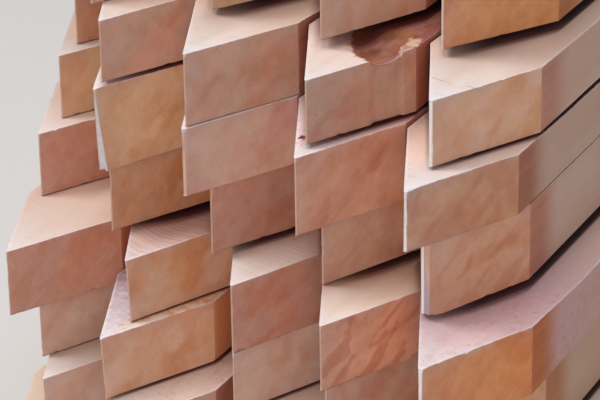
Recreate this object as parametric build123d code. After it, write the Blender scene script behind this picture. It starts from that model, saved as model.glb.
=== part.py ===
from build123d import *
import os

os.makedirs("parts", exist_ok=True)

# A strapped bundle of sawn and pointed hardwood stakes, in millimetres.
# The points look towards -Y, the courses are counted from the bottom, the columns from the left.

# one stake
stake_width = 48.0
stake_thickness = 28.0
stake_length = 914.0
right_cut_run = 47.0
left_cut_run = 53.5
tip_flat = 1.2

# stakes with a broader tip, and how broad it is
blunt_tips = {"stake_04_c": 1.8, "stake_06_e": 3.6, "stake_07_b": 2.4, "stake_08_e": 1.6}

# how the stakes lie
side_gap = 0.6
columns = ("a", "b", "c", "d", "e")

# the hollow torn out of the top of one stake
torn_width = 17.0
torn_length = 38.0
torn_depth = 3.4
torn_turn = 41.0
torn_from_side = 14.8
torn_behind_point = 42.5

# the two straps
strap_width = 16.0
strap_thickness = 0.9
strap_clearance = 0.2
strap_lap = 45.0
front_strap_place = 240.0
rear_strap_place = 735.0

# Each course: how far it has slid sideways, and for its five stakes from the left
# how much thicker they are than usual, how far they are pushed in and how far the point is off centre.
courses = {
    "01": (8.0, (0.0, 0.0, 0.0, 0.0, 0.0), (4.0, -8.0, 6.0, -14.0, -2.0), (0.5, -1.0, 0.0, 1.5, -0.5)),
    "02": (15.0, (-1.5, -1.5, 2.0, 1.0, 2.5), (-6.0, -18.0, -5.0, 3.0, -20.0), (-1.0, 0.5, 1.0, -1.0, 0.0)),
    "03": (25.5, (-1.5, 0.0, -1.0, 1.0, -1.5), (1.0, -34.5, -12.0, -26.0, -9.0), (0.0, 0.5, -0.5, 1.0, -1.0)),
    "04": (14.5, (-1.0, -0.5, -2.0, 0.0, 0.5), (17.0, -14.0, -1.5, -16.0, -24.0), (1.0, 0.0, 2.0, 0.0, 0.5)),
    "05": (15.0, (0.5, -1.0, 1.5, -0.5, 0.5), (-2.5, 2.5, -2.5, -22.0, -40.0), (-1.0, 2.5, 2.0, 0.5, 0.0)),
    "06": (-1.0, (0.0, 1.5, 4.5, -0.5, 3.4), (50.0, 22.5, 15.5, 9.0, -4.0), (-0.5, 0.5, 0.5, 2.5, 2.0)),
    "07": (-1.0, (0.0, 6.5, 0.5, 3.6, -3.4), (68.0, 15.5, -2.5, -9.5, -16.5), (0.0, 0.5, -0.5, 1.0, -0.5)),
    "08": (-1.0, (0.0, -0.7, 1.5, -1.1, -1.3), (82.0, 17.5, -1.0, 0.0, 4.5), (0.5, 1.8, 0.0, 1.0, 0.0)),
    "09": (-11.0, (3.0, 0.0, 0.5, 0.0, 0.5), (66.0, 32.0, 44.0, 31.5, 46.5), (-0.5, 0.0, -2.0, 2.0, -4.0)),
    "10": (-11.0, (4.0, -1.0, -0.5, 0.0, 1.5), (52.0, 40.0, 31.0, 58.0, 37.0), (1.0, 0.0, -1.0, 0.5, 0.5)),
}
torn_stake = "stake_08_d"


def place_stakes():
    """Lays the courses on each other: each stake rests on the highest stake under it."""
    laid = []
    below = []
    for course, (slide, extra, pushed, off_centre) in courses.items():
        row = []
        for number, column in enumerate(columns):
            middle = slide + (number - (len(columns) - 1) / 2) * (stake_width + side_gap)
            left = middle - stake_width / 2
            right = middle + stake_width / 2
            under = [s["top"] for s in below if s["left"] < right and s["right"] > left]
            bottom = max(under, default=0.0)
            row.append({
                "name": f"stake_{course}_{column}",
                "middle": middle,
                "left": left,
                "right": right,
                "bottom": bottom,
                "top": bottom + stake_thickness + extra[number],
                "tip": pushed[number],
                "off": off_centre[number],
            })
        laid += row
        below = row
    return laid


def make_stake(place):
    """A flat sawn bar whose end is cut on both sides to a blunt upright edge."""
    tip = place["middle"] + place["off"]
    flat = blunt_tips.get(place["name"], tip_flat)
    outline = Polyline(
        (tip - flat / 2, place["tip"]),
        (tip + flat / 2, place["tip"]),
        (place["right"], place["tip"] + right_cut_run),
        (place["right"], place["tip"] + stake_length),
        (place["left"], place["tip"] + stake_length),
        (place["left"], place["tip"] + left_cut_run),
        close=True,
    )
    bar = extrude(make_face(outline), place["top"] - place["bottom"])
    return bar.moved(Location((0, 0, place["bottom"])))


def tear_top(stake, place):
    """Near the right side the grain is torn out in a long slanting hollow that breaks through the cut."""
    spread = (1 - (2 / 3) ** 2) ** 0.5
    hollow = scale(Sphere(1), by=(torn_width / 2 / spread, torn_length / 2 / spread, torn_depth * 3))
    middle = (place["right"] - torn_from_side, place["tip"] + torn_behind_point, place["top"] + torn_depth * 2)
    return stake - hollow.moved(Location(middle, (0, 0, torn_turn)))


def hull(points):
    """The outline of a cord pulled tight round the points."""
    ordered = sorted(set(points))
    chain = []
    for run in (ordered, ordered[::-1]):
        part = []
        for p in run:
            while len(part) > 1 and turn(part[-2], part[-1], p) <= 1e-6:
                part.pop()
            part.append(p)
        chain += part[:-1]
    return chain


def turn(a, b, c):
    """Above zero where the way from a over b to c bends left."""
    return (b[0] - a[0]) * (c[1] - a[1]) - (b[1] - a[1]) * (c[0] - a[0])


def make_strap(laid, place):
    """A flat band pulled tight round the bundle, its ends lapped on top and welded."""
    corners = [(s[side], s[level]) for s in laid for side in ("left", "right") for level in ("bottom", "top")]
    outline = make_face(Polyline(*hull(corners), close=True))
    inner = offset(outline, strap_clearance, kind=Kind.ARC)
    outer = offset(outline, strap_clearance + strap_thickness, kind=Kind.ARC)
    band = extrude(Plane.XZ * (outer - inner), strap_width / 2, both=True)
    top = max(s["top"] for s in laid)
    upper = [s for s in laid if s["top"] == top]
    middle = (upper[0]["left"] + upper[0]["right"]) / 2
    lap = Box(strap_lap, strap_width, strap_thickness).moved(
        Location((middle, 0, top + strap_clearance + strap_thickness * 1.5))
    )
    return (band + lap).moved(Location((0, place, 0)))


laid = place_stakes()
pieces = {}
for place in laid:
    stake = make_stake(place)
    if place["name"] == torn_stake:
        stake = tear_top(stake, place)
    pieces[place["name"]] = stake
pieces["front_strap"] = make_strap(laid, front_strap_place)
pieces["rear_strap"] = make_strap(laid, rear_strap_place)

# the origin is at the middle of the underside
boxes = [shape.bounding_box() for shape in pieces.values()]
middle_x = (min(b.min.X for b in boxes) + max(b.max.X for b in boxes)) / 2
middle_y = (min(b.min.Y for b in boxes) + max(b.max.Y for b in boxes)) / 2
underside = min(b.min.Z for b in boxes)
for name, shape in pieces.items():
    export_step(shape.moved(Location((-middle_x, -middle_y, -underside))), f"parts/{name}.step")
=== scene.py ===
import math
import bpy
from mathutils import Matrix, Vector


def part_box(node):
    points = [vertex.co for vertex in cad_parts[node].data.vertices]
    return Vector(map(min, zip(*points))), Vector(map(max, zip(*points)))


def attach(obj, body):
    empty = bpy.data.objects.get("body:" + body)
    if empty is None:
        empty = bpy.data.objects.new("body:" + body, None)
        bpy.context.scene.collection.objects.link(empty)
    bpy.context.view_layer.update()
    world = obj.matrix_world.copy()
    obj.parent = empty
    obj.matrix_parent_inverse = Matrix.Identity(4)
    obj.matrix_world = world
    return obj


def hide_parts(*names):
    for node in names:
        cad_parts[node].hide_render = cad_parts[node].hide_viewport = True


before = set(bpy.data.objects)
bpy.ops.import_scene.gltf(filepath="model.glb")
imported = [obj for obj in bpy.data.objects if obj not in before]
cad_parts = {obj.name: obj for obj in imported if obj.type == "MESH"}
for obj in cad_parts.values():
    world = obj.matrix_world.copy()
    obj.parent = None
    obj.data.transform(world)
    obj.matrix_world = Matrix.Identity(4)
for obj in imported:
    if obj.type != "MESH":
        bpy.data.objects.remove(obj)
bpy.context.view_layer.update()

# The stakes: flat bars of hardwood straight from the saw, one end cut from both sides to a blunt upright
# edge and the other left square. They lie on each other in ten courses of five. All fifty are one form
# with its own measures: a bar laid out in rings along its length and drawn in towards the point.


class Flow:
    """A socket of a node tree that can be used in sums."""

    def __init__(self, tree, socket):
        self.tree = tree
        self.socket = socket

    def node(self, kind, settings=None, values=None, out=0):
        return add_node(self.tree, kind, settings, values, out)

    def math(self, operation, *others):
        return self.node("ShaderNodeMath", {"operation": operation}, dict(enumerate((self,) + others)))

    def __add__(self, other):
        return self.math("ADD", other)

    def __radd__(self, other):
        return self.math("ADD", other)

    def __sub__(self, other):
        return self.math("SUBTRACT", other)

    def __rsub__(self, other):
        return self.node("ShaderNodeMath", {"operation": "SUBTRACT"}, {0: other, 1: self})

    def __mul__(self, other):
        return self.math("MULTIPLY", other)

    def __rmul__(self, other):
        return self.math("MULTIPLY", other)

    def __truediv__(self, other):
        return self.math("DIVIDE", other)

    def __rtruediv__(self, other):
        return self.node("ShaderNodeMath", {"operation": "DIVIDE"}, {0: other, 1: self})

    def __neg__(self):
        return self * -1.0

    def least(self, other):
        return self.math("MINIMUM", other)

    def most(self, other):
        return self.math("MAXIMUM", other)

    def size(self):
        return self.math("ABSOLUTE")

    def root(self):
        return self.math("SQRT")

    def fading(self, reach):
        """1 at zero and less and less beyond it: about a third is left at the reach."""
        return (self / -reach).math("EXPONENT")

    def between(self, first, second):
        """Goes smoothly from 0 to 1 as the value goes from the first to the second, up or down."""
        values = {"Value": self, "From Min": first, "From Max": second}
        return self.node("ShaderNodeMapRange", {"interpolation_type": "SMOOTHSTEP"}, values)

    def toward(self, first, second):
        """Goes straight from first to second as the value goes from 0 to 1."""
        return self * (second - first) + first

    def vector(self, operation, other):
        return self.node("ShaderNodeVectorMath", {"operation": operation}, {0: self, 1: other})

    def parts(self):
        return [self.node("ShaderNodeSeparateXYZ", None, {0: self}, k) for k in range(3)]

    def tint(self, first, second):
        """Mixes two colours by the value."""
        return self.node("ShaderNodeMix", {"data_type": "RGBA"}, {0: self, 6: first, 7: second}, 2)

    def shade(self, colour):
        """This colour with another laid over it like a glaze."""
        settings = {"data_type": "RGBA", "blend_type": "MULTIPLY"}
        return self.node("ShaderNodeMix", settings, {0: 1.0, 6: self, 7: colour}, 2)

    def noise(self, scale, detail, rough=0.5):
        """Cloudy values from 0 to 1 at this place."""
        values = {"Vector": self, "Scale": scale, "Detail": detail, "Roughness": rough}
        return self.node("ShaderNodeTexNoise", None, values)


def add_node(tree, kind, settings=None, values=None, out=0):
    """Adds a node: its settings first, then the values or links of its sockets."""
    node = tree.nodes.new(kind)
    for name, value in (settings or {}).items():
        setattr(node, name, value)
    for name, value in (values or {}).items():
        if isinstance(value, Flow):
            tree.links.new(value.socket, node.inputs[name])
        else:
            node.inputs[name].default_value = value
    return Flow(tree, node.outputs[out])


def join(tree, x, y, z):
    return add_node(tree, "ShaderNodeCombineXYZ", None, {0: x, 1: y, 2: z})


def linear(red, green, blue):
    """A colour as seen on a screen, 0 to 255, as light."""
    seen = (red, green, blue)
    return tuple(((c / 255 + 0.055) / 1.055) ** 2.4 if c > 10 else c / 255 / 12.92 for c in seen) + (1.0,)


# how finely a stake is divided: rings along its nose and its body, faces across it and up it
nose_rings, body_rings = 44, 26
faces_across, faces_up = 18, 12

# the hollow torn out of one top: its middle from the right side and from the point, its half measures
# across and along, and how far it is turned
hollow_from_right, hollow_from_point = 0.0148, 0.0425
hollow_half_width, hollow_half_length = 0.0085, 0.0190
hollow_turn = math.radians(41)


def in_hollow(off_x, off_y):
    """How far a place lies across and along the turned hollow, counted in its half measures."""
    across = (off_x * math.cos(hollow_turn) + off_y * math.sin(hollow_turn)) / hollow_half_width
    along = (off_y * math.cos(hollow_turn) - off_x * math.sin(hollow_turn)) / hollow_half_length
    return across, along


# what each stake is told: the measures of its form, what its wood looks like, and, of up to two stakes
# that rest on it, the riders, where they lie and how steeply their cuts run back
form_measures = (
    "Width", "Thickness", "Length", "Point", "Lean", "Right Cut", "Left Cut", "Flat Top", "Flat Bottom",
    "Hollow", "Worn Corner", "Worn Heel", "Dip", "Lift Left", "Lift Right", "Chips",
)
wood_measures = (
    "Seed", "Figure", "Saw Marks", "Scuffs", "Fibres", "Bark", "Crack", "Blot", "Sliver", "Flecks", "Seam",
)
wood_colours = ("Cut Colour", "Cloud Colour", "Side Colour", "Tip Colour")

form = bpy.data.node_groups.new("pointed stake", "GeometryNodeTree")
form.interface.new_socket("Geometry", in_out="OUTPUT", socket_type="NodeSocketGeometry")
measures = {}
for kind, names in (
    ("Float", form_measures + wood_measures),
    ("Color", wood_colours),
    ("Vector", ("Place", "First Rider", "First Slopes", "Second Rider", "Second Slopes")),
    ("Material", ("Wood",)),
):
    for name in names:
        made = form.interface.new_socket(name, in_out="INPUT", socket_type="NodeSocket" + kind)
        measures[name] = made.identifier
given = form.nodes.new("NodeGroupInput")
result = form.nodes.new("NodeGroupOutput")
want = {name: Flow(form, given.outputs[name]) for name in measures}


def keep(mesh, name, value, kind="FLOAT", domain="POINT"):
    """Stores a value on the mesh."""
    settings = {"data_type": kind, "domain": domain}
    values = {"Geometry": mesh, "Name": name, "Value": value}
    return add_node(form, "GeometryNodeStoreNamedAttribute", settings, values)


def eased(share):
    """Even steps from 0 to 1, drawn together towards both ends."""
    return 0.5 - (share * math.pi).math("COSINE") * 0.5


# a block one unit wide, long and high, whose faces remember what they become
shaped = add_node(form, "GeometryNodeMeshCube", None, {
    "Size": (1.0, 1.0, 1.0), "Vertices X": faces_across + 1, "Vertices Y": nose_rings + body_rings + 1,
    "Vertices Z": faces_up + 1,
})
shaped = keep(shaped, "lattice", add_node(form, "GeometryNodeInputPosition"), "FLOAT_VECTOR")
vectors = {"data_type": "FLOAT_VECTOR"}
lattice = add_node(form, "GeometryNodeInputNamedAttribute", vectors, {"Name": "lattice"})
block_x, block_y, block_z = lattice.parts()
from_front = block_y + 0.5
nose_share = nose_rings / (nose_rings + body_rings)
sideways, endways, upright = add_node(form, "GeometryNodeInputNormal").parts()
for name, value in (
    ("cut", sideways.size() * from_front.math("LESS_THAN", nose_share)),
    ("blunt", (-endways).most(0.0)),
    ("butt", endways.most(0.0)),
    ("level", upright.size()),
):
    shaped = keep(shaped, name, value, domain="FACE")

# the bar, drawn in towards the point
rightward = eased(block_x + 0.5)
high = eased(block_z + 0.5)
nose = eased((from_front / nose_share).least(1.0))
body = eased(((from_front - nose_share) / (1 - nose_share)).most(0.0))
cut_run = rightward.toward(want["Left Cut"], want["Right Cut"])
along = nose * cut_run + body * (want["Length"] - cut_run)
flat = high.toward(want["Flat Bottom"], want["Flat Top"])
point = want["Point"] + want["Lean"] * (high * 2.0 - 1.0)
left = (1.0 - nose) * (point - flat * 0.5)
right = nose.toward(point + flat * 0.5, want["Width"])
x = rightward.toward(left, right)
raised = high * want["Thickness"]

# how far each place is from the nearest edge
from_side = (x - left).least(right - x)
from_level = raised.least(want["Thickness"] - raised)
from_end = along.least(want["Length"] - along)
from_edge = from_side.least(from_level).most(from_side.most(from_level).least(from_end))

# a torn hollow in the top, corners worn off the tip, and faces that bend away from the stakes over and
# under them: the underside at the point, fading over some 20 cm, the top from its cuts to the strap
hollow_x, hollow_y = in_hollow(x - want["Width"] + hollow_from_right, along - hollow_from_point)
bowl = (1.0 - hollow_x * hollow_x - hollow_y * hollow_y).most(0.0).root()
corner = along.fading(0.0030)
raised_by = rightward.toward(want["Lift Left"], want["Lift Right"]) * (along * -5.0).math("EXPONENT")
cut_end = ((x - point) / (want["Width"] - point)).most(0.0) * want["Right Cut"]
cut_end = cut_end + (1.0 - x / point).most(0.0) * want["Left Cut"]
dip = (along - cut_end).between(-0.010, 0.060) * along.between(0.26, 0.16) * want["Dip"]
top_face = want["Thickness"] - bowl * want["Hollow"] - corner * want["Worn Corner"] - dip
z = high.toward(raised_by + corner * want["Worn Heel"], top_face)

here = join(form, x, along, z)
placed = {"Geometry": shaped, "Position": here.vector("ADD", want["Place"])}
shaped = add_node(form, "GeometryNodeSetPosition", None, placed)
shaped = keep(shaped, "spot", here, "FLOAT_VECTOR")
for name, value in (
    ("edge", from_edge),
    ("from_right", want["Width"] - x),
    ("from_left", x - left),
    ("bowl", bowl),
    ("from_top", want["Thickness"] * (1.0 - high)),
):
    shaped = keep(shaped, name, value)

# for each of the two riders: how far each place lies behind its cuts, square to them, how far beside its
# tip, and how far outside its width or behind its butt
square_to_cut = 0.45
for rider, slopes, name in (
    ("First Rider", "First Slopes", "under_first"),
    ("Second Rider", "Second Slopes", "under_second"),
):
    tip_x, tip_y, middle_x = want[rider].parts()
    left_slope, right_slope, _ = want[slopes].parts()
    aside = x - tip_x
    behind = along - tip_y - aside.most(0.0) * right_slope + aside.least(0.0) * left_slope
    beyond = ((x - middle_x).size() - want["Width"] * 0.5).most(along - tip_y - want["Length"])
    shaped = keep(shaped, name, join(form, behind * square_to_cut, aside.size(), beyond), "FLOAT_VECTOR")

# worn and chipped edges, faces that aren't quite flat, and a ragged floor in the hollow
where = here.vector("ADD", join(form, want["Seed"] * 3.1, want["Seed"] * 1.7, want["Seed"] * 2.3))
chipped = where.noise(190.0, 3.0, 0.6).between(0.58, 0.76) * want["Chips"] * 0.0010
worn = (0.00014 + chipped) * from_edge.fading(0.0008)
uneven = where.noise(420.0, 2.0) * 0.00012 + where.noise(30.0, 1.0) * 0.0002
splintered = where.noise(300.0, 3.0, 0.7) * bowl.between(0.0, 0.3) * want["Hollow"] * 0.35
facing = add_node(form, "GeometryNodeInputNormal")
wear = {0: facing, "Scale": -(worn + uneven + splintered)}
inward = add_node(form, "ShaderNodeVectorMath", {"operation": "SCALE"}, wear)
shaped = add_node(form, "GeometryNodeSetPosition", None, {"Geometry": shaped, "Offset": inward})
for name in wood_measures:
    shaped = keep(shaped, name, want[name])
for name in wood_colours:
    shaped = keep(shaped, name, want[name], "FLOAT_COLOR")
shaped = add_node(form, "GeometryNodeRealizeInstances", None, {0: shaped})
shaped = add_node(form, "GeometryNodeSetMaterial", None, {"Geometry": shaped, "Material": want["Wood"]})
form.links.new(shaped.socket, result.inputs[0])

# the wood: cream on its sawn sides, browner and softly clouded where the point is cut across the grain
hardwood = bpy.data.materials.new("sawn hardwood")
hardwood.use_nodes = True
wood = hardwood.node_tree
wood.nodes.clear()


def stored(name, out="Fac"):
    """What the form has stored on the mesh."""
    return add_node(wood, "ShaderNodeAttribute", {"attribute_name": name}, None, out)


seed, figure, fibres_and_highlight = stored("Seed"), stored("Figure"), stored("Fibres")
edge, bowl_depth = stored("edge"), stored("bowl")
from_top, from_right = stored("from_top"), stored("from_right")
on_level, on_cut = stored("level"), stored("cut").most(stored("butt"))

# a place on the stake, from its left side and its point, and the same shifted by the stake's seed
spot = stored("spot", "Vector")
spot_x, spot_y, _ = spot.parts()
place = spot.vector("ADD", join(wood, seed * 3.1, seed * 1.7, seed * 2.3))
place_x, place_y, place_z = place.parts()
fine = place.noise(700.0, 3.0, 0.65)
smudges = place.noise(190.0, 3.0, 0.6)

# on the cuts: soft clouds of two tones and a redder one, then darker and paler strokes and fine
# scratches, all brushed so that they rise to the right
rise = place_y * 0.80 + place_z * 0.72
fall = place_z * 0.80 - place_y * 0.72
drift = (place.noise(60.0, 2.0) - 0.5) * 1.6
clouds = join(wood, rise * 52.0 + drift, fall * 84.0, seed).noise(1.0, 2.0, 0.5)
glow = join(wood, rise * 44.0, fall * 66.0 + drift, seed * 2.0 + 5.0).noise(1.0, 1.0, 0.5)
strokes = join(wood, rise * 42.0 + drift, fall * 112.0, seed).noise(1.0, 2.0, 0.45)
scratches = join(wood, rise * 50.0, fall * 1500.0, seed).noise(1.0, 1.0, 0.5)
cut_colour = stored("Cut Colour", "Color")
cut_tone = clouds.between(0.36, 0.62).tint(cut_colour, stored("Cloud Colour", "Color"))
cut_tone = (glow.between(0.48, 0.66) * 0.7).tint(cut_tone, cut_tone.shade(linear(244, 222, 208)))
dark_strokes = strokes.between(0.50, 0.57) * (0.06 + figure * 0.70)
cut_tone = dark_strokes.tint(cut_tone, cut_tone.shade(linear(228, 196, 180)))
pale_strokes = strokes.between(0.44, 0.34) * (0.08 + figure * 0.40)
cut_tone = pale_strokes.tint(cut_tone, linear(232, 200, 174))
scratched = scratches.between(0.64, 0.72) * clouds.between(0.40, 0.58) * 0.35
cut_tone = scratched.tint(cut_tone, linear(234, 200, 178))

# greyer along the upper edge, rosier at the point, a little smudged, and strewn with dark specks
greyer = from_top.fading(0.0030) * smudges.between(0.25, 0.65) * 0.6 * (1.0 - bowl_depth)
cut_tone = greyer.tint(cut_tone, linear(202, 176, 174))
rosy = spot_y.fading(0.010) * (0.15 + smudges * 0.5)
cut_tone = rosy.tint(cut_tone, linear(208, 174, 168))
cut_tone = smudges.between(0.32, 0.66).tint(cut_tone.shade(linear(247, 243, 241)), cut_tone)
specks = place.noise(620.0, 1.0, 0.5).between(0.78, 0.83) * 0.4
cut_tone = specks.tint(cut_tone, linear(96, 58, 50))

# on the tops: the stake's own side colour, which turns into the common one behind the point, with faint
# bands and streaks along the grain, and paler towards the point as a painted highlight
plain_from, plain_at = 0.070, 0.140
streaks = join(wood, place_x * 420.0, place_y * 9.0, place_z * 420.0).noise(1.0, 3.0, 0.55)
bands = join(wood, place_x * 60.0, place_y * 14.0, place_z * 60.0).noise(1.0, 2.0, 0.5)
plainer = spot_y.between(plain_from, plain_at) * 0.7
side_colour = plainer.tint(stored("Side Colour", "Color"), linear(240, 216, 200))
level_tone = (bands.between(0.35, 0.7) * 0.35).tint(side_colour, side_colour.shade(linear(240, 214, 196)))
streaked = streaks.between(0.5, 0.75) * 0.14
level_tone = streaked.tint(level_tone, side_colour.shade(linear(214, 184, 164)))
# painted highlight: the top paler towards the point
level_tone = (spot_y.fading(0.022) * 0.7).tint(level_tone, linear(254, 247, 246))

# some tops have the arcs of the saw, some are scuffed, and the right half of one is flecked
sweep = (spot_y + spot_x * 0.60 - spot_x * spot_x * 5.0) * 900.0
arcs = join(wood, sweep, spot_x * 5.0, seed).noise(1.0, 2.0, 0.6)
sawn = arcs.between(0.44, 0.66) * stored("Saw Marks") * 0.35
level_tone = sawn.tint(level_tone, side_colour.shade(linear(192, 148, 136)))
scuffed = place.noise(330.0, 4.0, 0.7)
scuffs = stored("Scuffs") * spot_y.between(plain_at, plain_from)
level_tone = (scuffed.between(0.5, 0.62) * scuffs * 0.6).tint(level_tone, linear(238, 226, 232))
level_tone = (scuffed.between(0.42, 0.34) * scuffs * 0.45).tint(level_tone, linear(150, 122, 136))
flecks = smudges.between(0.38, 0.62).tint(linear(232, 178, 132), linear(252, 226, 196))
level_tone = (stored("Flecks") * spot_x.between(0.022, 0.030)).tint(level_tone, flecks)

# on the sides: as brown as the cuts at the shoulder, painted darker there as the shade of the narrow
# gaps between the stakes, and sawn like the tops behind it
darker, paler = cut_colour.shade(linear(212, 190, 194)), cut_colour.shade(linear(224, 204, 204))
upright_tone = streaks.between(0.3, 0.7).tint(darker, paler)
upright_tone = stored("Flecks").tint(upright_tone, cut_colour.shade(linear(242, 212, 182)))
behind_shoulder = spot_y.between(0.056, 0.078) * 0.9
upright_tone = behind_shoulder.tint(upright_tone, level_tone.shade(linear(242, 232, 226)))

# the torn hollow: a stain like bark that reaches from its left rim to the cut, with a straight slanting
# side, and a ragged splinter left standing beside it
tatters = (place.noise(150.0, 4.0, 0.65) - 0.5) * 0.006
off_x, off_y = hollow_from_right - from_right, spot_y - hollow_from_point
torn_x, torn_y = in_hollow(off_x, off_y)
torn_y = torn_y.least(0.0)
reach = (1.0 - (torn_x.least(0.0) * torn_x + torn_y * torn_y).root()) * hollow_half_width
straight_side = off_x * 0.903 + off_y * 0.430 + 0.0078
reach = reach.most((spot_y - 0.0300).least(straight_side)).least(straight_side) + tatters
splinter = (from_right - 0.0030 - off_y * 0.1 + tatters * 0.9).size().between(0.0030, 0.0022)
splinter = splinter * (spot_y - 0.0475 + tatters * 1.6).size().between(0.0100, 0.0088)
splinter = splinter * bowl_depth.between(0.45, 0.15)
stain = reach.between(-0.0014, -0.0002) * (1.0 - splinter) * stored("Bark") * from_top.between(0.004, 0.002)
bark = place.vector("MULTIPLY", (1.0, 0.45, 1.0)).noise(150.0, 4.0, 0.65)
bark_tone = bark.between(0.3, 0.7).tint(linear(158, 100, 78), linear(200, 142, 106))
bark_tone = place.noise(90.0, 2.0).between(0.45, 0.62).tint(bark_tone, linear(196, 142, 130))
bark_tone = (edge + tatters).between(0.0062, 0.0042).tint(bark_tone, linear(172, 116, 112))
splinter_tone = smudges.between(0.35, 0.6).tint(linear(204, 158, 134), linear(240, 208, 176))

# fine cracks in one top, in two lengths on one wavering line, and a dark blot beside the tip of another
crack_x, crack_y = 0.0195, 0.0202
wavering = (place.noise(260.0, 2.0) - 0.5) * 0.0034
line = spot_y - crack_y + (spot_x - crack_x) * 0.16 + wavering
near_crack = (spot_x - crack_x).size().between(0.0050, 0.0040)
far_crack = (spot_x - 0.0320).size().between(0.0026, 0.0018)
crack = line.size().between(0.00034, 0.00012) * near_crack.most(far_crack) * stored("Crack") * 0.6
blot_x, blot_y = 0.0196, 0.0160
blot = place.vector("MULTIPLY", (1.0, 0.6, 1.0)).noise(420.0, 3.0, 0.6).between(0.46, 0.56) * stored("Blot")
blot = blot * (spot_x - blot_x).size().between(0.0030, 0.0016)
blot = blot * (spot_y - blot_y).size().between(0.0060, 0.0036)

# the blunt tip: on one it keeps its own colour only in a sliver at the left, which widens downwards and
# is bright at its outer edge, and the rest of it looks like the cuts
tip_colour = stored("Tip Colour", "Color")
tip_tone = (fine.between(0.3, 0.7) * 0.4).tint(tip_colour, tip_colour.shade(linear(230, 214, 210)))
beside_sliver = stored("from_left") - 0.0012
tapered = beside_sliver - (from_top - 0.008).most(0.0) * 0.13
tip_tone = (tapered.between(0.0, 0.0003) * stored("Sliver")).tint(tip_tone, cut_tone)
tip_tone = (beside_sliver.between(0.0, -0.0005) * stored("Sliver")).tint(tip_tone, linear(255, 250, 246))

# all of this laid over the top: pale fibres and a painted highlight at the tip and along the rim
level_tone = (splinter * stored("Bark")).tint(level_tone, splinter_tone)
tip_highlight = spot_y.fading(0.013) * smudges.between(0.34, 0.52) * fibres_and_highlight
level_tone = tip_highlight.tint(level_tone, linear(255, 253, 255))
rim_fibres_and_highlight = edge.between(0.0016, 0.0004) * smudges.between(0.25, 0.50) * (0.15 + fibres_and_highlight * 0.6)
level_tone = rim_fibres_and_highlight.tint(level_tone, linear(255, 246, 250))
level_tone = crack.tint(level_tone, linear(140, 104, 92))
level_tone = blot.tint(level_tone, linear(120, 46, 52))
tone = on_level.tint(upright_tone, stain.tint(level_tone, bark_tone))

# painted shade in the seams, where one stake lies on another, darkest deep under the stake above, and
# on the undersides
seam_shades, shade_depths = [], []
for name in ("under_first", "under_second"):
    behind, aside, beyond = stored(name, "Vector").parts()
    before = behind.between(-stored("Seam"), 0.0004) * 0.75
    covered = aside.between(-0.002, 0.010) * beyond.between(0.0012, 0.0000)
    seam_shades.append(before.most(behind.between(0.0000, 0.0012)) * covered)
    shade_depths.append(behind.between(0.0010, 0.0080))
on_top, on_underside = from_top.between(0.0022, 0.0014), from_top.between(0.012, 0.018)
painted_seam_shade = (seam_shades[0].most(seam_shades[1]) * on_top).most(on_underside * 0.7) * on_level
painted_seam_shade = painted_seam_shade * stored("Seam").between(0.0000, 0.0002)
seam_shade_tone = shade_depths[0].most(shade_depths[1]).tint(linear(140, 74, 74), linear(84, 42, 48))
tone = (painted_seam_shade * 0.92).tint(tone, seam_shade_tone)

# cuts and tip, and the pale fuzz of fibres along their upper edge, partly a painted highlight
tone = on_cut.tint(tone, cut_tone)
tone = stored("blunt").tint(tone, tip_tone)
fuzz_and_highlight = edge.between(0.0010, 0.0003) * from_top.between(0.0022, 0.0008)
fuzz_and_highlight = fuzz_and_highlight * place.noise(300.0, 4.0, 0.75).between(0.42, 0.56)
fuzz_and_highlight = fuzz_and_highlight * (0.5 + spot_y.fading(0.012) * 0.9).least(1.0) * (1.0 - bowl_depth).between(0.6, 1.0)
tone = (fuzz_and_highlight * fibres_and_highlight).tint(tone, linear(250, 240, 244))

height = streaks * 0.2 + fine * 0.5 + arcs * on_level * stored("Saw Marks") * 0.8
height = height + scuffed * scuffs * 1.2 + bark * stain * 2.5
bump = add_node(wood, "ShaderNodeBump", None, {"Height": height, "Strength": 0.35, "Distance": 0.0006})
finish = add_node(wood, "ShaderNodeBsdfPrincipled", None, {
    "Base Color": tone, "Roughness": 0.85, "Normal": bump, "Specular IOR Level": 0.2,
})
surface = wood.nodes.new("ShaderNodeOutputMaterial")
wood.links.new(finish.socket, surface.inputs["Surface"])

# the wood's tones, each with that of its cuts, of the clouds in them and of its sawn sides
tones = {
    "pink": (linear(226, 178, 156), linear(218, 184, 164), linear(240, 220, 206)),
    "mauve": (linear(232, 186, 178), linear(230, 200, 180), linear(242, 222, 212)),
    "dusk": (linear(214, 169, 148), linear(206, 175, 156), linear(250, 225, 213)),
    "stone": (linear(219, 191, 174), linear(222, 186, 163), linear(236, 218, 206)),
    "clay": (linear(225, 167, 134), linear(216, 154, 122), linear(242, 218, 206)),
    "mushroom": (linear(234, 206, 182), linear(226, 184, 160), linear(238, 216, 206)),
    "rose": (linear(236, 190, 162), linear(226, 174, 148), linear(242, 218, 206)),
    "peach": (linear(242, 202, 174), linear(238, 192, 156), linear(236, 211, 192)),
    "tan": (linear(234, 192, 154), linear(238, 200, 156), linear(240, 220, 198)),
    "grey": (linear(238, 214, 200), linear(238, 204, 184), linear(236, 218, 206)),
    "orange": (linear(236, 178, 130), linear(228, 170, 132), linear(236, 211, 192)),
    "rust": (linear(230, 170, 120), linear(222, 174, 134), linear(232, 208, 188)),
    "red": (linear(218, 160, 134), linear(212, 164, 146), linear(232, 208, 194)),
    "honey": (linear(246, 178, 125), linear(236, 163, 106), linear(244, 218, 196)),
    "fair": (linear(250, 200, 172), linear(246, 194, 156), linear(246, 222, 208)),
    "warm": (linear(244, 187, 156), linear(240, 180, 141), linear(246, 222, 208)),
    "amber": (linear(236, 202, 172), linear(236, 180, 132), linear(240, 220, 198)),
    "lilac": (linear(244, 162, 107), linear(238, 158, 106), linear(242, 200, 206)),
}

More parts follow.
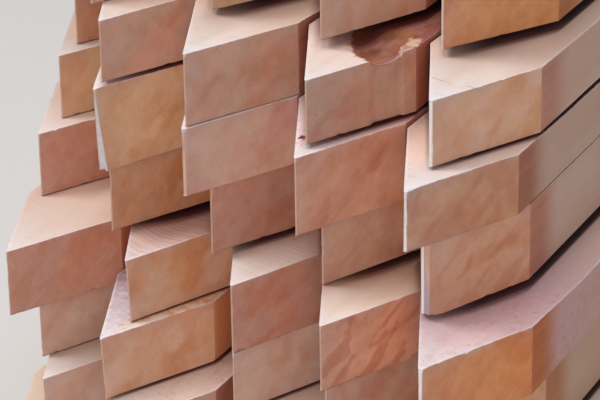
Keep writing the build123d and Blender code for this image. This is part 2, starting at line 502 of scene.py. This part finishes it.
# which tone each stake has: the courses counted from the floor, their stakes from the left
columns = "abcde"
courses = {
    "01": "pink tan grey red orange",
    "02": "tan red pink orange grey",
    "03": "grey pink red tan pink",
    "04": "grey peach grey dusk orange",
    "05": "red amber red rose lilac",
    "06": "red rust red mushroom warm",
    "07": "tan tan mauve rose clay",
    "08": "orange pink pink dusk fair",
    "09": "tan pink tan stone honey",
    "10": "pink orange tan red grey",
}

# what sets single stakes apart
cream, white, grey = linear(226, 190, 166), linear(252, 246, 240), linear(216, 208, 208)
marks = {
    "stake_09_e": {"Tip Colour": white, "Lift Left": 0.0002, "Lift Right": 0.0006},
    # painted shade: a darker side colour for the shade of a stake above this one
    "stake_08_b": {"Side Colour": linear(220, 184, 162), "Lift Left": 0.0013, "Lift Right": 0.0017},
    "stake_08_c": {"Seam": 0.0054, "Dip": 0.0036, "Chips": 0.3, "Fibres": 0.8},
    "stake_08_d": {
        "Seam": 0.0040, "Dip": 0.0012, "Hollow": 0.0034, "Bark": 1.0,
        "Lift Left": 0.0008, "Lift Right": 0.0012,
    },
    "stake_08_e": {
        "Seam": 0.0030, "Dip": 0.0012, "Crack": 1.0, "Fibres": 0.9, "Tip Colour": white, "Flat Top": 0.0014,
        "Flat Bottom": 0.0016, "Lift Left": 0.0003, "Lift Right": 0.0006,
    },
    "stake_07_b": {
        "Seam": 0.0026, "Lean": -0.0014, "Flat Top": 0.0006, "Flat Bottom": 0.0040, "Tip Colour": grey,
        "Figure": 0.30, "Worn Corner": 0.0006,
    },
    "stake_07_c": {
        "Seam": 0.0, "Fibres": 1.0, "Flat Top": 0.0014, "Flat Bottom": 0.0014, "Figure": 0.15,
        "Lift Left": 0.0006, "Lift Right": 0.0008,
    },
    "stake_07_d": {
        "Seam": 0.0034, "Dip": 0.0012, "Blot": 1.0, "Fibres": 0.9, "Figure": 0.3,
        "Side Colour": linear(234, 208, 206),
    },
    "stake_07_e": {
        "Seam": 0.0028, "Dip": 0.0012, "Fibres": 1.0, "Scuffs": 0.2, "Tip Colour": white, "Flat Top": 0.0010,
        "Flat Bottom": 0.0014, "Worn Corner": 0.0006,
    },
    "stake_06_b": {"Lift Left": 0.0004, "Lift Right": 0.0008},
    "stake_06_c": {"Lift Left": 0.0014, "Lift Right": 0.0022},
    "stake_06_e": {
        "Figure": 0.4, "Flat Top": 0.0036, "Flat Bottom": 0.0034, "Tip Colour": linear(196, 172, 180),
        "Sliver": 1.0, "Worn Heel": 0.0016,
    },
    "stake_05_b": {
        "Seam": 0.0050, "Dip": 0.0034, "Lean": -0.0007, "Saw Marks": 1.0,
        "Side Colour": linear(228, 190, 177), "Lift Left": 0.0002, "Lift Right": 0.0006,
    },
    "stake_05_c": {"Seam": 0.0024, "Dip": 0.0006, "Saw Marks": 0.4, "Side Colour": linear(252, 236, 224)},
    "stake_05_d": {"Seam": 0.0040, "Dip": 0.0030, "Figure": 1.0, "Side Colour": linear(250, 228, 208)},
    "stake_05_e": {
        "Seam": 0.0044, "Dip": 0.0034, "Fibres": 0.9, "Scuffs": 0.7, "Tip Colour": white, "Flat Top": 0.0016,
        "Flat Bottom": 0.0012, "Worn Corner": 0.0006,
    },
    "stake_04_b": {
        "Lean": -0.0007, "Scuffs": 1.0, "Fibres": 1.0, "Flecks": 1.0, "Side Colour": linear(196, 178, 198),
        "Lift Left": 0.0002, "Lift Right": 0.0012,
    },
    "stake_03_b": {"Scuffs": 0.7, "Fibres": 1.0},
}


def course(name):
    """The number of a stake's course, from its name."""
    return int(name[6:8])


# the measures of each stake's solid: its lower and upper corner, its point and where its cuts end, from
# those of its corners that lie this near to its tip or to one of its sides
on_tip, on_side = 0.0005, 0.0002
measured = {}
for name in sorted(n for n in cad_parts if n.startswith("stake")):
    low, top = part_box(name)
    corners = [v.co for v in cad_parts[name].data.vertices]
    tip = [c.x for c in corners if c.y < low.y + on_tip]
    right_start = min(c.y for c in corners if c.x > top.x - on_side)
    left_start = min(c.y for c in corners if c.x < low.x + on_side)
    measured[name] = (low, top, (min(tip) + max(tip)) / 2, left_start - low.y, right_start - low.y)

for number, (name, (low, top, tip, left_cut, right_cut)) in enumerate(measured.items()):
    cuts, cloudy, sides = tones[courses[name[6:8]].split()[columns.index(name[-1])]]
    values = {
        "Place": low, "Width": top.x - low.x, "Thickness": top.z - low.z, "Length": top.y - low.y,
        "Point": tip - low.x, "Right Cut": right_cut, "Left Cut": left_cut,
        "Flat Top": 0.0007, "Flat Bottom": 0.0007, "Chips": 1.0, "Seed": 0.37 * (number + 1), "Figure": 0.1,
        "Fibres": 0.45, "Seam": 0.0012, "Cut Colour": cuts, "Cloud Colour": cloudy, "Side Colour": sides,
        "Tip Colour": cream, "Wood": hardwood,
    }
    riders = [
        m for n, m in measured.items()
        if course(n) == course(name) + 1 and m[0].x < top.x and m[1].x > low.x
    ]
    for which in ("First", "Second"):
        # a rider far behind the stake stands for none
        values[which + " Rider"], values[which + " Slopes"] = (0.0, 9.0, 0.0), (1.0, 1.0, 0.0)
        if riders:
            start, end, rider_tip, rider_left, rider_right = riders.pop()
            values[which + " Rider"] = (rider_tip - low.x, start.y - low.y, (start.x + end.x) / 2 - low.x)
            slopes = (rider_left / (rider_tip - start.x), rider_right / (end.x - rider_tip), 0.0)
            values[which + " Slopes"] = slopes
    values.update(marks.get(name, {}))
    blank = bpy.data.objects.new(name + "_form", bpy.data.meshes.new(name))
    bpy.context.scene.collection.objects.link(blank)
    maker = blank.modifiers.new("form", "NODES")
    maker.node_group = form
    for key, value in values.items():
        maker[measures[key]] = value
    bpy.context.view_layer.update()
    ready = blank.evaluated_get(bpy.context.evaluated_depsgraph_get())
    mesh = bpy.data.meshes.new_from_object(ready)
    bpy.data.objects.remove(blank)
    mesh.shade_smooth()
    mesh.set_sharp_from_angle(angle=math.radians(38))
    stake = bpy.data.objects.new("wood_" + name, mesh)
    bpy.context.scene.collection.objects.link(stake)
    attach(stake, "root")
    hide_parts(name)

# The straps: flat bands of black plastic, pulled tight round the bundle and welded where the ends lap on
# top. They keep the shape of their solids, and faint streaks run along the band.
strap_plastic = bpy.data.materials.new("strap plastic")
strap_plastic.use_nodes = True
plastic = strap_plastic.node_tree
plastic.nodes.clear()
spread = add_node(plastic, "ShaderNodeTexCoord", None, None, "Object")
faint = spread.vector("MULTIPLY", (60.0, 900.0, 60.0)).noise(1.0, 2.0)
band = add_node(plastic, "ShaderNodeBsdfPrincipled", None, {
    "Base Color": faint.tint(linear(34, 34, 35), linear(52, 52, 53)), "Roughness": 0.42,
})
outside = plastic.nodes.new("ShaderNodeOutputMaterial")
plastic.links.new(band.socket, outside.inputs["Surface"])
for name in ("front_strap", "rear_strap"):
    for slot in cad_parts[name].material_slots:
        slot.material = strap_plastic

# The floor, the light and the camera: a plain pale floor just under the bundle, lit softly from above
# and before the points.
floor_tone, floor_drop = (0.82, 0.81, 0.80, 1.0), 0.0005
floor_paint = bpy.data.materials.new("floor")
floor_paint.use_nodes = True
painted = floor_paint.node_tree.nodes["Principled BSDF"].inputs
painted["Base Color"].default_value = floor_tone
painted["Roughness"].default_value = 0.9
bpy.ops.mesh.primitive_plane_add(size=30.0, location=(0.0, 0.0, -floor_drop))
floor = bpy.context.object
floor.name = "floor"
floor.data.materials.append(floor_paint)

world = bpy.data.worlds.new("room")
world.use_nodes = True
bpy.context.scene.world = world
room = world.node_tree.nodes["Background"]
room.inputs["Color"].default_value = (0.96, 0.97, 1.0, 1.0)
room.inputs["Strength"].default_value = 0.22

# lamps: what they are turned to and how far off they stand, then for each its degrees round, counted
# from the right side, its degrees up, how large it is and how strong
aim, far = (0.0, -0.35, 0.2), 2.8
for name, around, up, size, power in (
    ("window", 205.0, 50.0, 1.2, 34.0),
    ("front", 270.0, 8.0, 1.4, 19.5),
    ("ceiling", 240.0, 86.0, 1.2, 24.0),
    ("right", 352.0, 10.0, 0.6, 3.0),
):
    lamp = bpy.data.lights.new(name, "AREA")
    lamp.size = size
    lamp.energy = power
    holder = bpy.data.objects.new(name, lamp)
    bpy.context.scene.collection.objects.link(holder)
    turn, rise_by = math.radians(around), math.radians(up)
    away = Vector((math.cos(turn) * math.cos(rise_by), math.sin(turn) * math.cos(rise_by), math.sin(rise_by)))
    holder.location = Vector(aim) + away * far
    holder.rotation_euler = away.to_track_quat("Z", "Y").to_euler()

# the camera looks down on the points from their right, from about a metre off, through a long lens
eye = bpy.data.cameras.new("camera")
eye.sensor_width = 36.0
eye.lens = 164.5
eye.clip_start = 0.05
eye.clip_end = 100.0
camera = bpy.data.objects.new("camera", eye)
bpy.context.scene.collection.objects.link(camera)
camera.location = (0.4559, -1.3069, 0.5882)
camera.rotation_euler = (math.radians(66.358), math.radians(0.845), math.radians(26.362))
bpy.context.scene.camera = camera
bpy.context.scene.view_settings.view_transform = "Standard"
